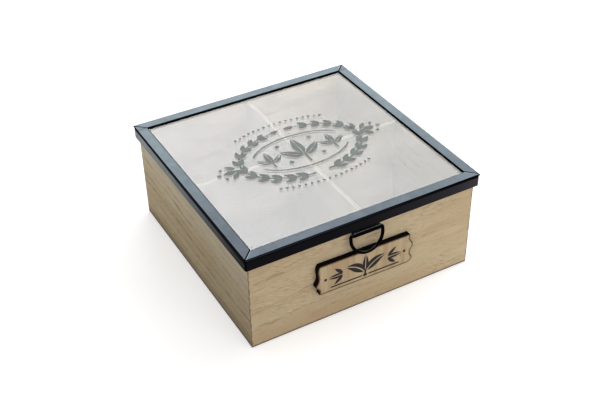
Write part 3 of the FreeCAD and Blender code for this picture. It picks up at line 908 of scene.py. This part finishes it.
@dataclass
class Plaque:
    """Ticket-shaped board on the front wall, with burnt sides and a burnt ornament on its face.

    Each end's shares are points of its wavy line: a height as a share of half the plaque's height,
    and how far it stands out there as a share of the wave.
    """

    length: float = 72.0
    height: float = 24.4
    thickness: float = 4.0
    wave: float = 2.0
    corner: float = 1.0
    centre: tuple[float, float, float] = (-2.2, -87.15, 38.2)
    tilt: float = -1.0
    bevel: float = 0.25
    bevel_middle: float = 0.35
    sharp_angle: float = 32.0
    ragged: float = 0.0012
    rows: int = 61
    columns: int = 161
    left_shares: tuple = ((-1.0, -0.1), (-0.82, -0.35), (-0.62, 0.0), (-0.43, 1.0), (-0.14, 0.5),
                          (0.2, 0.1), (0.7, 0.4), (1.0, -0.1))
    right_shares: tuple = ((-1.0, -0.6), (-0.86, 0.55), (-0.68, 1.0), (-0.38, 0.1), (-0.1, 0.3),
                           (0.27, 1.05), (0.48, 0.35), (0.7, -0.35), (1.0, -0.15))
    wood: PlaqueFinish = PlaqueFinish("plaque_face", srgb(192, 170, 138), srgb(176, 152, 119),
                                      srgb(10, 7, 6), srgb(86, 58, 36))
    ink: InkFinish = InkFinish("burnt_ornament", srgb(25, 19, 20), srgb(46, 36, 36), 5.0)
    ink_thickness: float = 0.05
    ground: float = -8.6

    def end_curve(self, heights: np.ndarray, shares: tuple) -> np.ndarray:
        """How far an end stands out at each height: a natural cubic through the end's points.

        Args:
            heights: Heights from -1 to 1 as shares of half the plaque's height.
            shares: Height and reach of each point.

        Returns:
            Distances outwards in millimetres.
        """
        knots, values = np.array(shares).T
        gap = np.diff(knots)
        size = len(knots)
        system = np.eye(size)
        right = np.zeros(size)
        inner = np.arange(1, size - 1)
        system[inner, inner - 1] = gap[:-1]
        system[inner, inner] = 2 * (gap[:-1] + gap[1:])
        system[inner, inner + 1] = gap[1:]
        right[1:-1] = 6 * np.diff(np.diff(values) / gap)
        bend = np.linalg.solve(system, right)
        cell = np.clip(np.searchsorted(knots, heights) - 1, 0, size - 2)
        before, after = heights - knots[cell], knots[cell + 1] - heights
        width = gap[cell]
        cubic = (bend[cell] * after ** 3 + bend[cell + 1] * before ** 3) / (6 * width)
        line = (values[cell] / width - bend[cell] * width / 6) * after
        line += (values[cell + 1] / width - bend[cell + 1] * width / 6) * before
        return self.wave * (cubic + line)

    def face_grid(self, inset: float) -> np.ndarray:
        """Flat grid over the plaque's outline, drawn in by an inset.

        Each row runs from the left end's curve to the right end's, and the rows' ends are pulled in
        by a quarter circle near the top and bottom for the rounded corners.

        Args:
            inset: Distance from the true outline.

        Returns:
            Array of rows, columns and two numbers.
        """
        rows, columns = bunched(self.rows, 0.5), bunched(self.columns, 0.3)
        up = rows * (self.height / 2 - inset)
        left = -self.length / 2 - self.end_curve(rows, self.left_shares) + inset
        right = self.length / 2 + self.end_curve(rows, self.right_shares) - inset
        reach = np.clip(np.abs(up) - (self.height / 2 - inset - self.corner), 0, self.corner)
        pull = self.corner - np.sqrt(self.corner ** 2 - reach ** 2)
        left, right = left + pull, right - pull
        share = (columns + 1) / 2
        across = left[:, None] * (1 - share) + right[:, None] * share
        return np.stack([across, np.broadcast_to(up[:, None], across.shape)], axis=-1)

    def build(self) -> bpy.types.Object:
        """Closed board: the front grid, three rings round its edge for bevel and side, and the back.

        Returns:
            The object.
        """
        face = self.face_grid(self.bevel).reshape(-1, 2)
        back = self.face_grid(0.0).reshape(-1, 2)
        number = np.arange(len(face)).reshape(self.rows, self.columns)
        loop = np.concatenate([number[0, :-1], number[:-1, -1], number[-1, :0:-1], number[:0:-1, 0]])
        edge = back[loop]
        rough_edge = edge * (1 + np.random.default_rng(7).normal(0, self.ragged, len(loop))[:, None])
        middle = face[loop] * self.bevel_middle + edge * (1 - self.bevel_middle)
        layers = [(face, self.thickness), (middle, self.thickness - self.bevel * self.bevel_middle),
                  (rough_edge, self.thickness - self.bevel), (rough_edge, 0.0), (back, 0.0)]
        points = np.vstack([np.column_stack([flat, np.full(len(flat), depth)]) for flat, depth in layers])
        rings = [len(face) + len(loop) * index + np.arange(len(loop)) for index in range(3)]
        first_back = len(points) - len(back)
        chain = [loop, *rings, first_back + loop]
        cells = grid_faces(self.rows, self.columns)
        faces = [cells]
        for inner, outside in zip(chain, chain[1:]):
            faces.append(np.stack([inner, outside, np.roll(outside, -1), np.roll(inner, -1)], axis=1))
        faces.append(cells[:, ::-1] + first_back)
        piece = mesh_piece("plaque_board", self.placed(points), np.vstack(faces), self.wood.build())
        self.measure(piece, points, edge, len(face))
        piece.data.set_sharp_from_angle(angle=math.radians(self.sharp_angle))
        return piece

    def placed(self, points: np.ndarray) -> np.ndarray:
        """Points of the plaque's own plane, moved onto the front wall and tilted.

        Args:
            points: Across, up and out of the wall.

        Returns:
            Points in the part's frame.
        """
        tilt = math.radians(self.tilt)
        across = points[:, 0] * math.cos(tilt) - points[:, 1] * math.sin(tilt)
        up = points[:, 0] * math.sin(tilt) + points[:, 1] * math.cos(tilt)
        x, y, z = self.centre
        return np.column_stack([x + across, y - points[:, 2], z + up])

    def measure(self, piece: bpy.types.Object, points: np.ndarray, edge: np.ndarray,
                face_count: int) -> None:
        """Store each point's distance from the outline, and whether it is off the face.

        Args:
            piece: The plaque.
            points: Its points in its own plane.
            edge: The outline.
            face_count: How many points belong to the face.
        """
        chunk = 2000
        gaps = [np.hypot(*(points[start:start + chunk, None, :2] - edge).transpose(2, 0, 1)).min(1)
                for start in range(0, len(points), chunk)]
        off_face = np.arange(len(points)) >= face_count
        for name, values in (("rim", np.concatenate(gaps)), ("side", off_face)):
            attribute = piece.data.attributes.new(name, "FLOAT", "POINT")
            attribute.data.foreach_set("value", values.astype(np.float32))

    def fan(self, sheet: InkSheet, side: int) -> None:
        """Burnt fan of three leaves that points to one end, with a berry beyond it.

        Args:
            sheet: The print.
            side: -1 for the left end, 1 for the right.
        """
        outwards = 90 - side * 90
        middle = -0.6
        sheet.leaf((side * 17.6, middle), outwards, 11.4, 4.0, vein=0.7)
        for rise in (-1, 1):
            turn = side * rise
            sheet.leaf((side * 17.8, middle + rise * 1.1), outwards + turn * 44, 8.4, 2.6, -turn * 6)
        sheet.disc((side * 31.0, middle), 1.1)

    def ornament(self) -> bpy.types.Object:
        """Burnt tea sprig, a bud between two broad leaves, with leaf fans beside it and a rule below.

        Returns:
            The object.
        """
        sheet = InkSheet(self.ink_thickness)
        sheet.leaf((0.0, -4.6), 90, 13.2, 4.6, vein=0.7)
        sheet.line((0.0, self.ground), (0.0, -4.0), 1.3)
        for side in (-1, 1):
            sheet.leaf((side * 1.0, -5.2), 90 - side * 38, 17.0, 7.0, -side * 44, 0.9)
            self.fan(sheet, side)
            sheet.line((side * 2.6, self.ground), (side * 27.0, self.ground), 1.1)
        sheet.lozenge((0.0, self.ground), 4.2, 3.2)
        points, faces = sheet.drawn(self.thickness + CLEAR)
        return mesh_piece("plaque_ornament", self.placed(points), faces, self.ink.build(), False)


@dataclass
class PullRing:
    """D-shaped wire ring that hangs from the rolled strip and leans on the plaque."""

    width: float = 27.0
    reach: float = 16.0
    wire: float = 1.2
    corner: float = 1.8
    pivot: tuple[float, float, float] = (-1.7, -90.45, 66.4)
    tilt: float = 8.06
    corner_points: int = 13
    bow_points: int = 73
    wire_points: int = 28
    # The last colour is the painted highlight along the wire's upper side.
    enamel: EnamelFinish = EnamelFinish("ring_enamel", srgb(4, 4, 5), srgb(8, 8, 9), 0.2, 31.0,
                                        0.008, srgb(84, 88, 94))

    def path(self) -> tuple[np.ndarray, np.ndarray]:
        """Middle of the wire as a closed chain of lines and arcs, with its outward normals.

        Returns:
            Points and unit normals in the ring's plane.
        """
        half = self.width / 2 - self.wire
        corner_out = circle(np.linspace(math.pi / 2, 0, self.corner_points))
        corner = (half - self.corner, -self.corner) + self.corner * corner_out
        bow_out = circle(np.linspace(0, -math.pi, self.bow_points))
        bow = (0.0, half - self.reach) + half * bow_out
        mirror = (-1, 1)
        return (np.vstack([corner, bow, corner[::-1] * mirror]),
                np.vstack([corner_out, bow_out, corner_out[::-1] * mirror]))

    def build(self) -> bpy.types.Object:
        """Circle carried along the closed path.

        Its radius runs by a sine between 0.972 and 0.996 of the wire's.

        Returns:
            The object.
        """
        middle, out = self.path()
        around = np.linspace(0, 2 * math.pi, self.wire_points, endpoint=False)
        swell = 0.984 - 0.012 * np.sin(np.arange(len(middle)) * 0.7)
        radius = self.wire * swell[:, None]
        flat = middle[:, None, :] + out[:, None, :] * (radius * np.cos(around))[..., None]
        depth = radius * np.sin(around)
        tilt = math.radians(self.tilt)
        y = flat[..., 1] * math.sin(tilt) + depth * math.cos(tilt)
        z = flat[..., 1] * math.cos(tilt) - depth * math.sin(tilt)
        points = np.stack([flat[..., 0], y, z], axis=-1) + self.pivot
        faces = grid_faces(len(middle), len(around), True, True)
        return mesh_piece("ring_wire", points.reshape(-1, 3), faces, self.enamel.build())


@dataclass
class GlassLid:
    """The lid: folded frame, pane with its print and bead, clips, rolled pull strip and hinges."""

    glass_top: float = 76.8
    opening: float = 82.0
    bead_height: float = 0.6
    bead_width: float = 0.45
    back_bead_width: float = 1.0
    ink_thickness: float = 0.04
    print_shift: float = 1.0
    wreath: tuple[float, float] = (47.0, 30.0)
    oval: tuple[float, float] = (37.0, 20.0)
    dots: tuple[float, float] = (66.0, 40.0)
    stem_points: int = 90
    arc_points: int = 70
    frame: FrameFinish = FrameFinish("frame_enamel_look", srgb(5, 5, 7), srgb(14, 15, 18), 0.32, 41.0,
                                     0.002)
    # The last colour is the painted highlight along the strip's upper side.
    strip: EnamelFinish = EnamelFinish("strip_enamel", srgb(4, 4, 5), srgb(8, 8, 9), 0.2, 43.0,
                                       0.008, srgb(108, 113, 120))
    hinge: EnamelFinish = EnamelFinish("hinge_enamel_look", srgb(16, 16, 18), srgb(34, 35, 38), 0.32, 45.0)
    clips: SteelFinish = SteelFinish("clip_steel_look", srgb(186, 186, 184), 0.3, 5.0)
    pins: SteelFinish = SteelFinish("pin_steel_look", srgb(176, 174, 170), 0.25, 6.0)
    screws: SteelFinish = SteelFinish("screw_steel_look", srgb(168, 164, 156), 0.3, 7.0)
    glass: GlassFinish = GlassFinish("pane_glass_look", srgb(248, 250, 249), srgb(205, 205, 205))
    ink: InkFinish = InkFinish("pane_print", srgb(114, 121, 117), srgb(130, 136, 132), 8.0)
    # Black of the bead, which is painted shade along the flange's cut edge.
    shade_bead_finish: InkFinish = InkFinish("painted_shade_bead", srgb(5, 5, 6), srgb(9, 9, 10), 9.0, 0.01)

    def dress(self, nodes: dict) -> None:
        """Coat the nodes of the lid and of the hinges.

        Args:
            nodes: The part's nodes by name.
        """
        cover(nodes, ("lid_frame",), self.frame.build())
        cover(nodes, ("glass_pane",), self.glass.build())
        cover(nodes, ("glass_clips",), self.clips.build())
        cover(nodes, ("pull_clip",), self.strip.build())
        leaves = tuple(f"hinge_leaf_{level}_{side}" for level in ("lower", "upper")
                       for side in ("left", "right"))
        cover(nodes, leaves + ("hinge_rivets",), self.hinge.build())
        cover(nodes, ("hinge_pin_left", "hinge_pin_right"), self.pins.build())
        cover(nodes, ("hinge_screws",), self.screws.build())

    def bead(self) -> bpy.types.Object:
        """Black bead of painted shade that fills the corner between the flange's cut edge and the glass.

        A quarter-round profile is carried round the square opening. At each corner a point of it
        lies at half the opening less its share of the bead's width, on both axes, and the bead is
        wider along the back.

        Returns:
            The object.
        """
        arc = circle(np.linspace(0, math.pi / 2, 7))
        inward, rise = np.vstack([arc, (0.0, 0.0)]).T
        signs = np.array([(-1, -1), (1, -1), (1, 1), (-1, 1)])
        widths = np.full((4, 2), self.bead_width)
        widths[2:, 1] = self.back_bead_width
        reach = self.opening - CLEAR - inward[None, :, None] * widths[:, None, :]
        height = self.glass_top + CLEAR + rise * self.bead_height
        tall = np.broadcast_to(height[None, :, None], (4, len(height), 1))
        points = np.concatenate([signs[:, None, :] * reach, tall], axis=-1).reshape(-1, 3)
        faces = grid_faces(4, len(height), True, True)
        return mesh_piece("pane_bead", points, faces, self.shade_bead_finish.build(), False)

    def branch(self, sheet: InkSheet, side: int) -> None:
        """Half of the print's wreath: a stem along an ellipse, with pairs of leaves on it.

        Args:
            sheet: The print.
            side: -1 for the left half, 1 for the right.
        """
        angle = np.radians(np.linspace(-84, 78, self.stem_points))
        path = circle(angle) * self.wreath * (side, 1)
        sheet.stroke(path, np.linspace(1.5, 1.0, self.stem_points))
        heading = np.degrees(np.arctan2(*along(path)[0].T[::-1]))
        run = np.cumsum(np.hypot(*np.gradient(path, axis=0).T))
        for reach in np.arange(6.0, run[-1] - 3.0, 9.2):
            spot = int(np.searchsorted(run, reach))
            size = 9.4 - 2.2 * spot / self.stem_points
            for lean in (-38, 38):
                sheet.leaf(tuple(path[spot]), heading[spot] + lean, size, 3.9, -lean * 0.6)
        sheet.leaf(tuple(path[-1]), heading[-1], 8.0, 3.4)

    def sprig(self, sheet: InkSheet, place: tuple[float, float], size: float) -> None:
        """Bud between two leaves on a short stem.

        Args:
            sheet: The print.
            place: Where the leaves meet.
            size: Length of the bud.
        """
        x, y = place
        sheet.leaf((x, y), 90, size, size * 0.36, vein=0.6)
        for side in (-1, 1):
            foot = (x + side * 0.05 * size, y - 0.05 * size)
            sheet.leaf(foot, 90 - side * 64, size * 0.86, size * 0.3, side * 26, 0.6)
        sheet.line((x, y - 0.5 * size), (x, y), 1.2)

    def fan(self, sheet: InkSheet, side: int) -> None:
        """Fan of three leaves at one end of the wreath, with three berries beyond it.

        Args:
            sheet: The print.
            side: -1 for the left end, 1 for the right.
        """
        outwards = 90 - side * 90
        sheet.leaf((side * 51.5, 0.0), outwards, 10.0, 4.6)
        for rise in (-1, 1):
            sheet.leaf((side * 51.0, rise * 2.4), outwards + side * rise * 42, 8.4, 3.6)
            sheet.disc((side * 61.0, rise * 5.4), 1.3)
        sheet.disc((side * 64.4, 0.0), 1.6)

    def print_sheet(self) -> bpy.types.Object:
        """Grey print on the pane: a wreath round three sprigs, with an inner oval, leaf fans and dots.

        Returns:
            The object.
        """
        sheet = InkSheet(self.ink_thickness)
        self.sprig(sheet, (0.0, -5.0), 21.0)
        for side in (-1, 1):
            self.branch(sheet, side)
            self.sprig(sheet, (side * 25.0, -3.5), 13.5)
            for level in (-10.0, 12.0):
                sheet.lozenge((side * 13.0, level), 4.0, 4.0)
            self.fan(sheet, side)
        arc = circle(np.radians(np.linspace(24, 156, self.arc_points))) * self.oval
        swell = np.sin(np.linspace(0, math.pi, self.arc_points))
        dots = circle(np.radians(np.arange(58, 123, 4))) * self.dots
        for rise in (-1, 1):
            sheet.stroke(arc * (1, rise), 0.9 + 0.4 * swell)
            for dot in dots * (1, rise):
                sheet.disc(tuple(dot), 1.0)
        points, faces = sheet.drawn(self.glass_top + CLEAR)
        return mesh_piece("pane_ornament", points + (self.print_shift, 0.0, 0.0), faces, self.ink.build(),
                          False)


def towards(azimuth: float, elevation: float) -> Vector:
    """Unit vector away from the box, by degrees from the front to the right and degrees up."""
    turn, rise = math.radians(azimuth), math.radians(elevation)
    return Vector((math.sin(turn) * math.cos(rise), -math.cos(turn) * math.cos(rise), math.sin(rise)))


@dataclass
class SoftBox:
    """Rectangular lamp aimed at the box, in metres. Its falloff and its cool end are optional."""

    name: str
    azimuth: float
    elevation: float
    distance: float
    size: tuple[float, float]
    radiance: float
    colour: tuple[float, float, float]
    aim: tuple[float, float, float] = (0.0, 0.0, 0.05)
    falloff: tuple[float, float] = (0.0, 0.0)
    cool: tuple[float, float, float, float] = WHITE

    def build(self) -> None:
        """Place the lamp: its power is its radiance times its area times pi."""
        away = towards(self.azimuth, self.elevation)
        light = bpy.data.lights.new(self.name, "AREA")
        light.shape = "RECTANGLE"
        light.size, light.size_y = self.size
        light.energy = self.radiance * self.size[0] * self.size[1] * math.pi
        light.color = self.colour
        if any(self.falloff):
            self.grade(light)
        lamp = bpy.data.objects.new(self.name, light)
        lamp.location = Vector(self.aim) + away * self.distance
        lamp.rotation_euler = away.to_track_quat("Z", "Y").to_euler()
        bpy.context.scene.collection.objects.link(lamp)

    def grade(self, light: bpy.types.Light) -> None:
        """Dim the lamp towards the start of both its sides, and cool it towards the first one's end.

        Along each side its strength runs evenly from a half less the falloff to a half more, and
        the two sides' strengths are added.

        Args:
            light: The lamp's data.
        """
        light.use_nodes = True
        g = Graph(light.node_tree)
        lit = g.tree.nodes["Emission"].inputs
        place = g.add("NewGeometry").outputs["Parametric"]
        across = g.add("SeparateXYZ", {"Vector": place}).outputs
        first, second = (g.scaled(across[letter], 2 * share, 0.5 - share)
                         for letter, share in zip("XY", self.falloff))
        g.feed(lit["Strength"], g.plus(first, second))
        g.feed(lit["Color"], g.mix(across["X"], WHITE, self.cool))


@dataclass
class Camera:
    """Camera at the picture's viewing angle: it looks at its target from the front left and above."""

    azimuth: float = -28.9695
    elevation: float = 36.5536
    roll: float = -1.0965
    distance: float = 720.57
    target: tuple[float, float, float] = (-7.2288, -10.2962, 41.3)
    focal_pixels: float = 1001.65
    shift_pixels: float = 1.0
    sensor: float = 36.0
    clip: tuple[float, float] = (0.01, 20.0)

    def build(self) -> None:
        """Make the camera and set it as the scene's."""
        back, roll = towards(self.azimuth, self.elevation), math.radians(self.roll)
        level = (-back).cross(Vector((0, 0, 1))).normalized()
        rise = level.cross(-back)
        right = level * math.cos(roll) + rise * math.sin(roll)
        up = rise * math.cos(roll) - level * math.sin(roll)
        data = bpy.data.cameras.new("camera")
        data.sensor_width = self.sensor
        data.lens = self.focal_pixels * self.sensor / IMAGE_WIDTH
        data.shift_x = data.shift_y = self.shift_pixels / IMAGE_WIDTH
        data.clip_start, data.clip_end = self.clip
        camera = bpy.data.objects.new("camera", data)
        turned = Matrix((right, up, back)).transposed().to_4x4()
        place = (Vector(self.target) + back * self.distance) * MM
        camera.matrix_world = Matrix.Translation(place) @ turned
        bpy.context.scene.collection.objects.link(camera)
        bpy.context.scene.camera = camera


@dataclass
class Studio:
    """White table and surround, three soft lamps and the camera."""

    lamps: tuple[SoftBox, ...] = (
        SoftBox("right_softbox", 104.0, 44.0, 1.3, (0.8, 0.8), 3.2, (0.97, 1.0, 1.03)),
        SoftBox("back_softbox", 150.9, 33.7, 1.3, (0.75, 0.5), 3.35, (1.0, 1.0, 0.995),
                aim=(0.0, 0.0, 0.077), falloff=(0.18, 0.45), cool=(0.985, 1.0, 1.08, 1.0)),
        SoftBox("front_fill", 12.0, 32.0, 1.5, (0.9, 0.9), 1.1, (1.0, 0.98, 0.95)),
    )
    ambient: float = 0.72
    lift: float = 0.42
    table_half: float = 4000.0
    table_level: float = -0.05
    table_tones: tuple = ((0.80, 0.80, 0.80, 1.0), (0.82, 0.82, 0.82, 1.0))

    def seen(self, g: Graph) -> bpy.types.NodeSocket:
        """1 for rays from the camera, from reflections and through glass.

        Args:
            g: The graph.

        Returns:
            The value socket.
        """
        rays = g.add("LightPath").outputs
        seen = g.maths("MAXIMUM", rays["Is Camera Ray"], rays["Is Glossy Ray"])
        return g.maths("MAXIMUM", seen, rays["Is Transmission Ray"])

    def table(self) -> bpy.types.Object:
        """Large table top whose colour is lifted to white where it is seen, so that its shadow stays.

        Returns:
            The object.
        """
        g = Surface("table_white")
        white = g.mix(g.noise(30.0, 2.0, 2), *self.table_tones)
        matte = g.add("BsdfPrincipled", {"Base Color": white, "Roughness": 0.9, "Specular IOR Level": 0.1})
        glow = g.add("Emission", {"Color": WHITE, "Strength": g.times(self.seen(g), self.lift)})
        material = g.output(g.add("AddShader", {0: matte.outputs[0], 1: glow.outputs[0]}))
        signs = np.array([(-1, -1), (1, -1), (1, 1), (-1, 1)])
        points = np.column_stack([signs * self.table_half, np.full(4, self.table_level)])
        return mesh_piece("table_top", points, np.array([(0, 1, 2, 3)]), material, False)

    def world(self) -> None:
        """Even grey light from all round, which is seen as white."""
        world = bpy.data.worlds.new("surround")
        world.use_nodes = True
        g = Graph(world.node_tree)
        back = g.tree.nodes["Background"].inputs
        g.feed(back["Color"], WHITE)
        g.feed(back["Strength"], g.scaled(self.seen(g), 1.0 - self.ambient, self.ambient))
        bpy.context.scene.world = world

    def build(self) -> None:
        """Make the table, surround, lamps and camera."""
        self.table()
        self.world()
        for lamp in self.lamps:
            lamp.build()
        Camera().build()
        bpy.context.scene.view_settings.view_transform = "Standard"


def corners(bounds: tuple[Vector, Vector]) -> list[list[float]]:
    """A box as plain lists of numbers."""
    return [[float(value) for value in corner] for corner in bounds]


def main() -> None:
    """Build and dress the box, the lid and the pull, then the studio."""
    logging.basicConfig(level=logging.INFO, format="%(name)s: %(message)s")
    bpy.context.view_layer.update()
    nodes = frame["nodes"]
    WoodenBox().dress(nodes)
    lid = GlassLid()
    lid.dress(nodes)
    plaque = Plaque()
    board = plaque.build()
    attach(board, "box")
    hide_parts("label_plaque")
    ornament = plaque.ornament()
    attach(ornament, "box")
    ring = PullRing().build()
    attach(ring, "pull_ring")
    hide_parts("pull_ring")
    print_piece = lid.print_sheet()
    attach(print_piece, "lid")
    bead = lid.bead()
    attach(bead, "lid")
    Studio().build()
    for piece in (board, ornament, ring, print_piece, bead):
        LOG.info("%s has %d faces", piece.name, len(piece.data.polygons))


if __name__ == "__main__":
    main()
